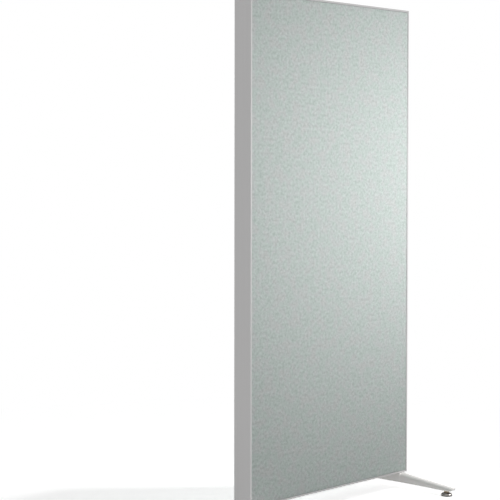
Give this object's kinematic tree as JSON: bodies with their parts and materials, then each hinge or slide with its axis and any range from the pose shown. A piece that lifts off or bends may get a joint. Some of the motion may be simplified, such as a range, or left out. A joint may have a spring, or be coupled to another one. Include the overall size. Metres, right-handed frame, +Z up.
{
  "type": "acoustic divider screen",
  "caption": "Free-standing acoustic screen: fabric-covered absorbing panel in a slim aluminium frame, on cast cross feet with screw-adjusted levelling glides.",
  "frame": {"origin": "on the floor, under the middle of the screen", "axes": "+Z up, +X along the screen's width, -Y out of the front face"},
  "size_m": [0.8, 0.51, 1.6535],
  "materials": {
    "anodised_aluminium": "satin natural anodised extrusion",
    "cast_bracket": "as cast",
    "zinc_steel": "zinc plated",
    "fibreboard": "raw hardboard",
    "polyester_felt": "soft fibre batt",
    "pressed_felt_board": "stiff needled felt",
    "wool_fabric": "woven melange wool",
    "clip_nylon": "moulded",
    "cast_foot": "die cast and polished to a satin",
    "chrome_dome": "bright plated",
    "sole_nylon": "moulded",
    "stem_steel": "turned, lightly oiled"
  },
  "bodies": {
    "screen": {"bottom_left_bracket": "cast_bracket", "bottom_rail": "anodised_aluminium", "bottom_right_bracket": "cast_bracket", "bracket_set_screws": "zinc_steel", "centre_board": "fibreboard", "foot_bolt_washers": "zinc_steel", "foot_bolts": "zinc_steel", "front_absorber": "polyester_felt", "front_fabric_cover": "wool_fabric", "front_face_board": "pressed_felt_board", "front_panel_clips": "clip_nylon", "left_foot": "cast_foot", "left_upright": "anodised_aluminium", "rear_absorber": "polyester_felt", "rear_fabric_cover": "wool_fabric", "rear_face_board": "pressed_felt_board", "rear_panel_clips": "clip_nylon", "right_foot": "cast_foot", "right_upright": "anodised_aluminium", "top_left_bracket": "cast_bracket", "top_rail": "anodised_aluminium", "top_right_bracket": "cast_bracket"},
    "left_front_glide_pad": {"left_front_glide_dome": "chrome_dome", "left_front_glide_sole": "sole_nylon"},
    "left_front_glide_screw": {"left_front_glide_stem": "stem_steel"},
    "left_rear_glide_pad": {"left_rear_glide_dome": "chrome_dome", "left_rear_glide_sole": "sole_nylon"},
    "left_rear_glide_screw": {"left_rear_glide_stem": "stem_steel"},
    "right_front_glide_pad": {"right_front_glide_dome": "chrome_dome", "right_front_glide_sole": "sole_nylon"},
    "right_front_glide_screw": {"right_front_glide_stem": "stem_steel"},
    "right_rear_glide_pad": {"right_rear_glide_dome": "chrome_dome", "right_rear_glide_sole": "sole_nylon"},
    "right_rear_glide_screw": {"right_rear_glide_stem": "stem_steel"}
  },
  "joints": [
    {"name": "left_front_glide_height", "type": "slide", "parent": "screen", "child": "left_front_glide_pad", "axis": [0, 0, 1], "range_m": [-0.006, 0]},
    {"name": "left_front_glide_turn", "type": "hinge", "parent": "left_front_glide_pad", "child": "left_front_glide_screw", "pos_m": [-0.376, -0.2215, 0], "axis": [0, 0, 1], "range_deg": [-1440, 0]},
    {"name": "left_rear_glide_height", "type": "slide", "parent": "screen", "child": "left_rear_glide_pad", "axis": [0, 0, 1], "range_m": [-0.006, 0]},
    {"name": "left_rear_glide_turn", "type": "hinge", "parent": "left_rear_glide_pad", "child": "left_rear_glide_screw", "pos_m": [-0.376, 0.2215, 0], "axis": [0, 0, 1], "range_deg": [-1440, 0]},
    {"name": "right_front_glide_height", "type": "slide", "parent": "screen", "child": "right_front_glide_pad", "axis": [0, 0, 1], "range_m": [-0.006, 0]},
    {"name": "right_front_glide_turn", "type": "hinge", "parent": "right_front_glide_pad", "child": "right_front_glide_screw", "pos_m": [0.376, -0.2215, 0], "axis": [0, 0, 1], "range_deg": [-1440, 0]},
    {"name": "right_rear_glide_height", "type": "slide", "parent": "screen", "child": "right_rear_glide_pad", "axis": [0, 0, 1], "range_m": [-0.006, 0]},
    {"name": "right_rear_glide_turn", "type": "hinge", "parent": "right_rear_glide_pad", "child": "right_rear_glide_screw", "pos_m": [0.376, 0.2215, 0], "axis": [0, 0, 1], "range_deg": [-1440, 0]}
  ],
  "couplings": [
    {"joint": "left_front_glide_turn", "follows": "left_front_glide_height", "rad_per_m": 4188.8},
    {"joint": "left_rear_glide_turn", "follows": "left_rear_glide_height", "rad_per_m": 4188.8},
    {"joint": "right_front_glide_turn", "follows": "right_front_glide_height", "rad_per_m": 4188.8},
    {"joint": "right_rear_glide_turn", "follows": "right_rear_glide_height", "rad_per_m": 4188.8}
  ]
}
